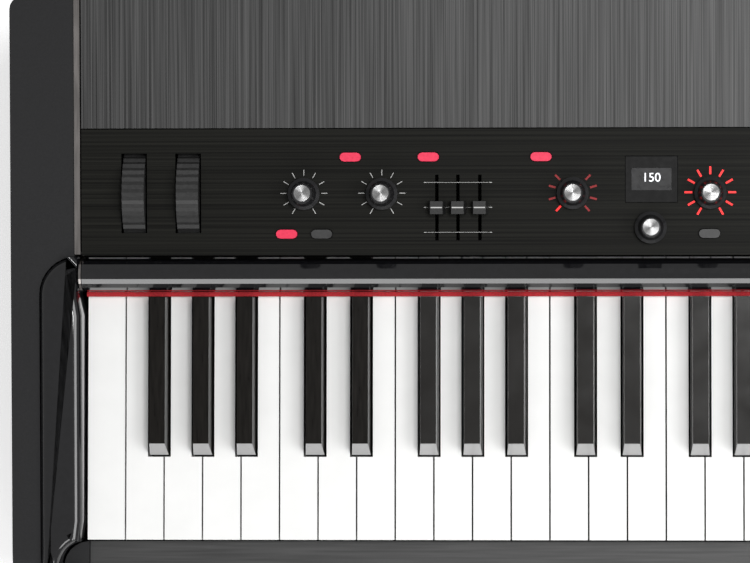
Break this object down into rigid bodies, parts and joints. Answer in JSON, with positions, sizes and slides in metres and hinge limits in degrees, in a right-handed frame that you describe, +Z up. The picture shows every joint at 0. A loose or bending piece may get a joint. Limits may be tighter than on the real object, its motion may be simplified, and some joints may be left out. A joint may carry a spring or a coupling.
{
  "type": "stage piano",
  "caption": "Long low keyboard instrument with weighted keys, a sloping control panel, two ribbed wheels, glossy side arms and rear sockets.",
  "frame": {"origin": "on the surface that the feet stand on, at the middle of the plan", "axes": "+X to the player's right, +Y to the rear, +Z up; the player is at -Y"},
  "size_m": [1.099, 0.355, 0.148],
  "materials": {
    "black_plastic": "fine matte moulded black",
    "gloss_black": "polished black",
    "brushed_dark": "dark hairline metal",
    "trim_metal": "warm grey satin metal",
    "rubber": "plain black rubber",
    "red_felt": "red felt",
    "key_white": "smooth white",
    "key_black": "satin black",
    "board": "green circuit board",
    "lit_red": "translucent red, lit"
  },
  "bodies": {
    "case": {"bottom_pan": "black_plastic", "foot_left_front": "rubber", "foot_left_rear": "rubber", "foot_right_front": "rubber", "foot_right_rear": "rubber", "left_end_block": "black_plastic", "left_arm": "gloss_black", "left_trim": "trim_metal", "left_end_cap": "black_plastic", "right_end_block": "black_plastic", "right_arm": "gloss_black", "right_trim": "trim_metal", "right_end_cap": "black_plastic", "key_slip": "brushed_dark", "panel_rail": "gloss_black", "felt_strip": "red_felt", "control_panel": "black_plastic", "rear_top_cover": "brushed_dark", "key_frame": "key_white", "rear_panel": "brushed_dark", "jack_board": "board", "power_inlet": "black_plastic", "main_board": "board", "wheel_bracket": "brushed_dark", "ensemble_display": "gloss_black", "piano_display": "gloss_black"},
    "key_01": {"key_01": "key_white"},
    "key_02": {"key_02": "key_white"},
    "key_03": {"key_03": "key_black"},
    "key_04": {"key_04": "key_white"},
    "key_05": {"key_05": "key_black"},
    "key_06": {"key_06": "key_white"},
    "key_07": {"key_07": "key_black"},
    "key_08": {"key_08": "key_white"},
    "key_09": {"key_09": "key_white"},
    "key_10": {"key_10": "key_black"},
    "key_11": {"key_11": "key_white"},
    "key_12": {"key_12": "key_black"},
    "master_volume_knob": {"master_volume_knob": "gloss_black"},
    "dynamics_knob": {"dynamics_knob": "gloss_black"},
    "ensemble_selector": {"ensemble_selector": "gloss_black"},
    "ensemble_level_knob": {"ensemble_level_knob": "gloss_black"},
    "ensemble_variation_knob": {"ensemble_variation_knob": "gloss_black"},
    "piano_selector": {"piano_selector": "gloss_black"},
    "piano_level_knob": {"piano_level_knob": "gloss_black"},
    "piano_variation_knob": {"piano_variation_knob": "gloss_black"},
    "dynamics_button": {"dynamics_button": "lit_red"},
    "equalizer_button": {"equalizer_button": "lit_red"},
    "switch_1_button": {"switch_1_button": "lit_red"},
    "switch_2_button": {"switch_2_button": "black_plastic"},
    "ensemble_button": {"ensemble_button": "lit_red"},
    "ensemble_edit_button": {"ensemble_edit_button": "black_plastic"},
    "piano_button": {"piano_button": "black_plastic"},
    "piano_edit_button": {"piano_edit_button": "black_plastic"},
    "eq_low_slider": {"eq_low_slider": "black_plastic"},
    "eq_mid_slider": {"eq_mid_slider": "black_plastic"},
    "eq_high_slider": {"eq_high_slider": "black_plastic"},
    "pitch_wheel": {"pitch_wheel": "black_plastic"},
    "mod_wheel": {"mod_wheel": "black_plastic"},
    "power_switch": {"power_switch": "black_plastic"}
  },
  "joints": [
    {"name": "key_01_press", "type": "hinge", "parent": "case", "child": "key_01", "pos_m": [-0.4935, 0.02, 0.093], "axis": [1, 0, 0], "range_deg": [0, 3.2], "stiffness_Nm_per_rad": 1.5, "springref_deg": -6.88},
    {"name": "key_02_press", "type": "hinge", "parent": "case", "child": "key_02", "pos_m": [-0.47, 0.02, 0.093], "axis": [1, 0, 0], "range_deg": [0, 3.2], "stiffness_Nm_per_rad": 1.5, "springref_deg": -6.88},
    {"name": "key_03_press", "type": "hinge", "parent": "case", "child": "key_03", "pos_m": [-0.46115, 0.02, 0.093], "axis": [1, 0, 0], "range_deg": [0, 3.2], "stiffness_Nm_per_rad": 1.5, "springref_deg": -6.88},
    {"name": "key_04_press", "type": "hinge", "parent": "case", "child": "key_04", "pos_m": [-0.4465, 0.02, 0.093], "axis": [1, 0, 0], "range_deg": [0, 3.2], "stiffness_Nm_per_rad": 1.5, "springref_deg": -6.88},
    {"name": "key_05_press", "type": "hinge", "parent": "case", "child": "key_05", "pos_m": [-0.43455, 0.02, 0.093], "axis": [1, 0, 0], "range_deg": [0, 3.2], "stiffness_Nm_per_rad": 1.5, "springref_deg": -6.88},
    {"name": "key_06_press", "type": "hinge", "parent": "case", "child": "key_06", "pos_m": [-0.423, 0.02, 0.093], "axis": [1, 0, 0], "range_deg": [0, 3.2], "stiffness_Nm_per_rad": 1.5, "springref_deg": -6.88},
    {"name": "key_07_press", "type": "hinge", "parent": "case", "child": "key_07", "pos_m": [-0.40795, 0.02, 0.093], "axis": [1, 0, 0], "range_deg": [0, 3.2], "stiffness_Nm_per_rad": 1.5, "springref_deg": -6.88},
    {"name": "key_08_press", "type": "hinge", "parent": "case", "child": "key_08", "pos_m": [-0.3995, 0.02, 0.093], "axis": [1, 0, 0], "range_deg": [0, 3.2], "stiffness_Nm_per_rad": 1.5, "springref_deg": -6.88},
    {"name": "key_09_press", "type": "hinge", "parent": "case", "child": "key_09", "pos_m": [-0.376, 0.02, 0.093], "axis": [1, 0, 0], "range_deg": [0, 3.2], "stiffness_Nm_per_rad": 1.5, "springref_deg": -6.88},
    {"name": "key_10_press", "type": "hinge", "parent": "case", "child": "key_10", "pos_m": [-0.36605, 0.02, 0.093], "axis": [1, 0, 0], "range_deg": [0, 3.2], "stiffness_Nm_per_rad": 1.5, "springref_deg": -6.88},
    {"name": "key_11_press", "type": "hinge", "parent": "case", "child": "key_11", "pos_m": [-0.3525, 0.02, 0.093], "axis": [1, 0, 0], "range_deg": [0, 3.2], "stiffness_Nm_per_rad": 1.5, "springref_deg": -6.88},
    {"name": "key_12_press", "type": "hinge", "parent": "case", "child": "key_12", "pos_m": [-0.33785, 0.02, 0.093], "axis": [1, 0, 0], "range_deg": [0, 3.2], "stiffness_Nm_per_rad": 1.5, "springref_deg": -6.88},
    {"name": "master_volume_knob_turn", "type": "hinge", "parent": "case", "child": "master_volume_knob", "pos_m": [-0.3713, 0.0578, 0.13189], "axis": [0, -0.0593, 0.9982], "range_deg": [-150, 150]},
    {"name": "dynamics_knob_turn", "type": "hinge", "parent": "case", "child": "dynamics_knob", "pos_m": [-0.3242, 0.0578, 0.13189], "axis": [0, -0.0593, 0.9982], "range_deg": [-150, 150]},
    {"name": "ensemble_selector_turn", "type": "hinge", "parent": "case", "child": "ensemble_selector", "pos_m": [-0.2091, 0.058, 0.1319], "axis": [0, -0.0593, 0.9982], "range_deg": [-135, 135]},
    {"name": "ensemble_level_knob_turn", "type": "hinge", "parent": "case", "child": "ensemble_level_knob", "pos_m": [-0.1265, 0.058, 0.1319], "axis": [0, -0.0593, 0.9982], "range_deg": [-150, 150]},
    {"name": "ensemble_variation_knob_turn", "type": "hinge", "parent": "case", "child": "ensemble_variation_knob", "pos_m": [-0.1623, 0.0373, 0.13067], "axis": [0, -0.0593, 0.9982], "continuous": true},
    {"name": "piano_selector_turn", "type": "hinge", "parent": "case", "child": "piano_selector", "pos_m": [-0.0391, 0.058, 0.1319], "axis": [0, -0.0593, 0.9982], "range_deg": [-135, 135]},
    {"name": "piano_level_knob_turn", "type": "hinge", "parent": "case", "child": "piano_level_knob", "pos_m": [0.0435, 0.058, 0.1319], "axis": [0, -0.0593, 0.9982], "range_deg": [-150, 150]},
    {"name": "piano_variation_knob_turn", "type": "hinge", "parent": "case", "child": "piano_variation_knob", "pos_m": [0.0077, 0.0373, 0.13067], "axis": [0, -0.0593, 0.9982], "continuous": true},
    {"name": "dynamics_button_press", "type": "slide", "parent": "case", "child": "dynamics_button", "axis": [0, -0.0593, 0.9982], "range_m": [-0.001, 0], "stiffness_N_per_m": 400, "springref_m": 0.002},
    {"name": "equalizer_button_press", "type": "slide", "parent": "case", "child": "equalizer_button", "axis": [0, -0.0593, 0.9982], "range_m": [-0.001, 0], "stiffness_N_per_m": 400, "springref_m": 0.002},
    {"name": "switch_1_button_press", "type": "slide", "parent": "case", "child": "switch_1_button", "axis": [0, -0.0593, 0.9982], "range_m": [-0.001, 0], "stiffness_N_per_m": 400, "springref_m": 0.002},
    {"name": "switch_2_button_press", "type": "slide", "parent": "case", "child": "switch_2_button", "axis": [0, -0.0593, 0.9982], "range_m": [-0.001, 0], "stiffness_N_per_m": 400, "springref_m": 0.002},
    {"name": "ensemble_button_press", "type": "slide", "parent": "case", "child": "ensemble_button", "axis": [0, -0.0593, 0.9982], "range_m": [-0.001, 0], "stiffness_N_per_m": 400, "springref_m": 0.002},
    {"name": "ensemble_edit_button_press", "type": "slide", "parent": "case", "child": "ensemble_edit_button", "axis": [0, -0.0593, 0.9982], "range_m": [-0.001, 0], "stiffness_N_per_m": 400, "springref_m": 0.002},
    {"name": "piano_button_press", "type": "slide", "parent": "case", "child": "piano_button", "axis": [0, -0.0593, 0.9982], "range_m": [-0.001, 0], "stiffness_N_per_m": 400, "springref_m": 0.002},
    {"name": "piano_edit_button_press", "type": "slide", "parent": "case", "child": "piano_edit_button", "axis": [0, -0.0593, 0.9982], "range_m": [-0.001, 0], "stiffness_N_per_m": 400, "springref_m": 0.002},
    {"name": "eq_low_slider_travel", "type": "slide", "parent": "case", "child": "eq_low_slider", "axis": [0, 0.9982, 0.0593], "range_m": [-0.015, 0.015]},
    {"name": "eq_mid_slider_travel", "type": "slide", "parent": "case", "child": "eq_mid_slider", "axis": [0, 0.9982, 0.0593], "range_m": [-0.015, 0.015]},
    {"name": "eq_high_slider_travel", "type": "slide", "parent": "case", "child": "eq_high_slider", "axis": [0, 0.9982, 0.0593], "range_m": [-0.015, 0.015]},
    {"name": "pitch_bend", "type": "hinge", "parent": "case", "child": "pitch_wheel", "pos_m": [-0.4742, 0.0583, 0.10952], "axis": [-1, 0, 0], "range_deg": [-45, 45], "stiffness_Nm_per_rad": 0.05},
    {"name": "modulation", "type": "hinge", "parent": "case", "child": "mod_wheel", "pos_m": [-0.4414, 0.0583, 0.10952], "axis": [-1, 0, 0], "range_deg": [0, 70]},
    {"name": "power_rock", "type": "hinge", "parent": "case", "child": "power_switch", "pos_m": [-0.24, 0.1735, 0.045], "axis": [-1, 0, 0], "range_deg": [0, 14]}
  ]
}
